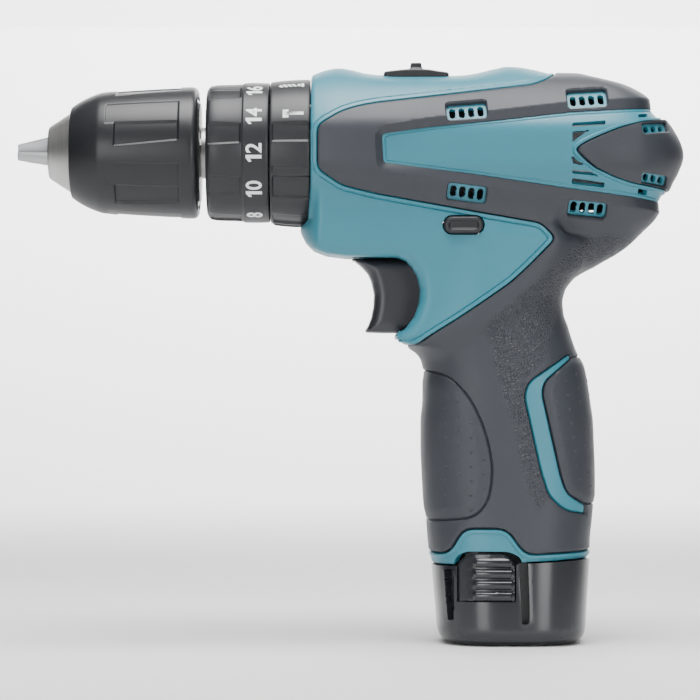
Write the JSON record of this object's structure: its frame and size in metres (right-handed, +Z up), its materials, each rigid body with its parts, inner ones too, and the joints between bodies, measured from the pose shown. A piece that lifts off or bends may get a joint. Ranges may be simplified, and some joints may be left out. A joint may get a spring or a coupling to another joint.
{
  "type": "cordless drill",
  "caption": "Compact pistol-grip cordless hammer driver drill with a keyless chuck, torque and mode rings, a three-stage gearbox and a slide-in battery.",
  "frame": {"origin": "centre of the battery's flat underside", "axes": "+X towards the rear, so the chuck points along -X; +Z up along the handle; +Y to the tool's right side"},
  "size_m": [0.2113, 0.0536, 0.184],
  "materials": {
    "housing_shell": "satin moulded plastic, fine even texture",
    "overmould": "matt moulded elastomer with grip dimples and a leather-like grain",
    "black_plastic": "black glass-filled nylon, fine spark texture",
    "battery_plastic": "black satin plastic",
    "trigger_plastic": "dark grey moulded plastic",
    "machined_steel": "turned and ground steel",
    "blackened_steel": "blackened steel",
    "cast_zinc": "cast light alloy",
    "motor_core": "laminated steel and copper windings",
    "fan_nylon": "natural nylon",
    "cell_wrap": "steel cell in a plastic sleeve",
    "clear_lens": "clear moulded lens"
  },
  "bodies": {
    "housing": {"housing_left": "housing_shell", "housing_right": "housing_shell", "grip_overmould_left": "overmould", "grip_overmould_right": "overmould", "rear_overmould_left": "overmould", "rear_overmould_right": "overmould", "housing_screw_1": "blackened_steel", "housing_screw_2": "blackened_steel", "housing_screw_3": "blackened_steel", "housing_screw_4": "blackened_steel", "lamp_lens": "clear_lens", "gear_case": "cast_zinc", "spindle_bearing": "machined_steel", "ring_gear_1": "blackened_steel", "ring_gear_3": "blackened_steel", "motor_plate": "blackened_steel", "motor_can": "cast_zinc", "motor_end_cap": "black_plastic", "motor_magnet_left": "blackened_steel", "motor_magnet_right": "blackened_steel", "switch_body": "black_plastic", "terminal_block": "black_plastic", "clutch_spring": "machined_steel"},
    "trigger": {"trigger": "trigger_plastic"},
    "direction_button": {"direction_button": "black_plastic"},
    "speed_shift": {"speed_selector": "black_plastic", "speed_ring": "machined_steel"},
    "torque_ring": {"torque_ring": "black_plastic"},
    "mode_ring": {"mode_ring": "black_plastic"},
    "clutch_nut": {"clutch_nut": "cast_zinc"},
    "spindle": {"spindle": "machined_steel", "output_carrier": "machined_steel", "chuck_body": "machined_steel", "chuck_screw": "blackened_steel"},
    "carrier_2": {"carrier_2": "machined_steel"},
    "carrier_1": {"carrier_1": "machined_steel"},
    "motor_rotor": {"motor_shaft": "machined_steel", "motor_armature": "motor_core", "motor_fan": "fan_nylon"},
    "chuck_sleeve": {"chuck_sleeve": "black_plastic", "chuck_nut": "blackened_steel"},
    "chuck_jaw_1": {"chuck_jaw_1": "machined_steel"},
    "chuck_jaw_2": {"chuck_jaw_2": "machined_steel"},
    "chuck_jaw_3": {"chuck_jaw_3": "machined_steel"},
    "battery": {"battery_case": "battery_plastic", "battery_stick": "battery_plastic", "battery_cell_1": "cell_wrap", "battery_cell_2": "cell_wrap", "battery_cell_3": "cell_wrap"},
    "battery_latch_left": {"battery_latch_left": "battery_plastic"},
    "battery_latch_right": {"battery_latch_right": "battery_plastic"},
    "planet_1a": {"planet_1a": "machined_steel"},
    "planet_1b": {"planet_1b": "machined_steel"},
    "planet_1c": {"planet_1c": "machined_steel"},
    "planet_2a": {"planet_2a": "machined_steel"},
    "planet_2b": {"planet_2b": "machined_steel"},
    "planet_2c": {"planet_2c": "machined_steel"},
    "planet_3a": {"planet_3a": "machined_steel"},
    "planet_3b": {"planet_3b": "machined_steel"},
    "planet_3c": {"planet_3c": "machined_steel"}
  },
  "joints": [
    {"name": "spindle_spin", "type": "hinge", "parent": "housing", "child": "spindle", "pos_m": [-0.1, 0, 0.1553], "axis": [-1, 0, 0], "continuous": true},
    {"name": "carrier_2_spin", "type": "hinge", "parent": "housing", "child": "carrier_2", "pos_m": [-0.05, 0, 0.1553], "axis": [-1, 0, 0], "continuous": true},
    {"name": "carrier_1_spin", "type": "hinge", "parent": "housing", "child": "carrier_1", "pos_m": [-0.05, 0, 0.1553], "axis": [-1, 0, 0], "continuous": true},
    {"name": "motor_spin", "type": "hinge", "parent": "housing", "child": "motor_rotor", "pos_m": [-0.05, 0, 0.1553], "axis": [-1, 0, 0], "continuous": true},
    {"name": "planet_3a_spin", "type": "hinge", "parent": "spindle", "child": "planet_3a", "pos_m": [-0.0525, 0.0108, 0.1553], "axis": [-1, 0, 0], "continuous": true},
    {"name": "planet_3b_spin", "type": "hinge", "parent": "spindle", "child": "planet_3b", "pos_m": [-0.0525, -0.0054, 0.16465], "axis": [-1, 0, 0], "continuous": true},
    {"name": "planet_3c_spin", "type": "hinge", "parent": "spindle", "child": "planet_3c", "pos_m": [-0.0525, -0.0054, 0.14595], "axis": [-1, 0, 0], "continuous": true},
    {"name": "planet_2a_spin", "type": "hinge", "parent": "carrier_2", "child": "planet_2a", "pos_m": [-0.043, 0.0108, 0.1553], "axis": [-1, 0, 0], "continuous": true},
    {"name": "planet_2b_spin", "type": "hinge", "parent": "carrier_2", "child": "planet_2b", "pos_m": [-0.043, -0.0054, 0.16465], "axis": [-1, 0, 0], "continuous": true},
    {"name": "planet_2c_spin", "type": "hinge", "parent": "carrier_2", "child": "planet_2c", "pos_m": [-0.043, -0.0054, 0.14595], "axis": [-1, 0, 0], "continuous": true},
    {"name": "planet_1a_spin", "type": "hinge", "parent": "carrier_1", "child": "planet_1a", "pos_m": [-0.0302, 0.0108, 0.1553], "axis": [-1, 0, 0], "continuous": true},
    {"name": "planet_1b_spin", "type": "hinge", "parent": "carrier_1", "child": "planet_1b", "pos_m": [-0.0302, -0.0054, 0.16465], "axis": [-1, 0, 0], "continuous": true},
    {"name": "planet_1c_spin", "type": "hinge", "parent": "carrier_1", "child": "planet_1c", "pos_m": [-0.0302, -0.0054, 0.14595], "axis": [-1, 0, 0], "continuous": true},
    {"name": "chuck_sleeve_turn", "type": "hinge", "parent": "spindle", "child": "chuck_sleeve", "pos_m": [-0.125, 0, 0.1553], "axis": [-1, 0, 0], "range_deg": [0, 2880]},
    {"name": "chuck_jaw_1_slide", "type": "slide", "parent": "spindle", "child": "chuck_jaw_1", "axis": [0.9724, 0, 0.2334], "range_m": [0, 0.0214]},
    {"name": "chuck_jaw_2_slide", "type": "slide", "parent": "spindle", "child": "chuck_jaw_2", "axis": [0.9724, -0.2022, -0.1167], "range_m": [0, 0.0214]},
    {"name": "chuck_jaw_3_slide", "type": "slide", "parent": "spindle", "child": "chuck_jaw_3", "axis": [0.9724, 0.2022, -0.1167], "range_m": [0, 0.0214]},
    {"name": "torque_ring_turn", "type": "hinge", "parent": "housing", "child": "torque_ring", "pos_m": [-0.09, 0, 0.1553], "axis": [-1, 0, 0], "range_deg": [0, 272]},
    {"name": "clutch_nut_slide", "type": "slide", "parent": "housing", "child": "clutch_nut", "axis": [-1, 0, 0], "range_m": [0, 0.006], "deforming": ["clutch_spring"]},
    {"name": "mode_ring_turn", "type": "hinge", "parent": "housing", "child": "mode_ring", "pos_m": [-0.073, 0, 0.1553], "axis": [-1, 0, 0], "range_deg": [0, 60]},
    {"name": "trigger_pull", "type": "slide", "parent": "housing", "child": "trigger", "axis": [1, 0, 0], "range_m": [0, 0.006], "stiffness_N_per_m": 500, "springref_m": -0.004},
    {"name": "direction_push", "type": "slide", "parent": "housing", "child": "direction_button", "axis": [0, 1, 0], "range_m": [-0.003, 0.003]},
    {"name": "speed_shift", "type": "slide", "parent": "housing", "child": "speed_shift", "axis": [1, 0, 0], "range_m": [0, 0.006]},
    {"name": "battery_slide", "type": "slide", "parent": "housing", "child": "battery", "axis": [0, 0, -1], "range_m": [0, 0.1]},
    {"name": "latch_left_press", "type": "slide", "parent": "battery", "child": "battery_latch_left", "axis": [0, 1, 0], "range_m": [0, 0.0025], "stiffness_N_per_m": 800, "springref_m": -0.002},
    {"name": "latch_right_press", "type": "slide", "parent": "battery", "child": "battery_latch_right", "axis": [0, -1, 0], "range_m": [0, 0.0025], "stiffness_N_per_m": 800, "springref_m": -0.002}
  ],
  "couplings": [
    {"joint": "carrier_2_spin", "follows": "spindle_spin", "ratio": 3.6},
    {"joint": "carrier_1_spin", "follows": "spindle_spin", "ratio": 12.96},
    {"joint": "motor_spin", "follows": "spindle_spin", "ratio": 46.656},
    {"joint": "planet_3a_spin", "follows": "spindle_spin", "ratio": -3.25},
    {"joint": "planet_3b_spin", "follows": "spindle_spin", "ratio": -3.25},
    {"joint": "planet_3c_spin", "follows": "spindle_spin", "ratio": -3.25},
    {"joint": "planet_2a_spin", "follows": "spindle_spin", "ratio": -11.7},
    {"joint": "planet_2b_spin", "follows": "spindle_spin", "ratio": -11.7},
    {"joint": "planet_2c_spin", "follows": "spindle_spin", "ratio": -11.7},
    {"joint": "planet_1a_spin", "follows": "spindle_spin", "ratio": -42.12},
    {"joint": "planet_1b_spin", "follows": "spindle_spin", "ratio": -42.12},
    {"joint": "planet_1c_spin", "follows": "spindle_spin", "ratio": -42.12},
    {"joint": "chuck_jaw_1_slide", "follows": "chuck_sleeve_turn", "m_per_rad": 0.00042574},
    {"joint": "chuck_jaw_2_slide", "follows": "chuck_sleeve_turn", "m_per_rad": 0.00042574},
    {"joint": "chuck_jaw_3_slide", "follows": "chuck_sleeve_turn", "m_per_rad": 0.00042574},
    {"joint": "clutch_nut_slide", "follows": "torque_ring_turn", "m_per_rad": 0.0012639}
  ]
}
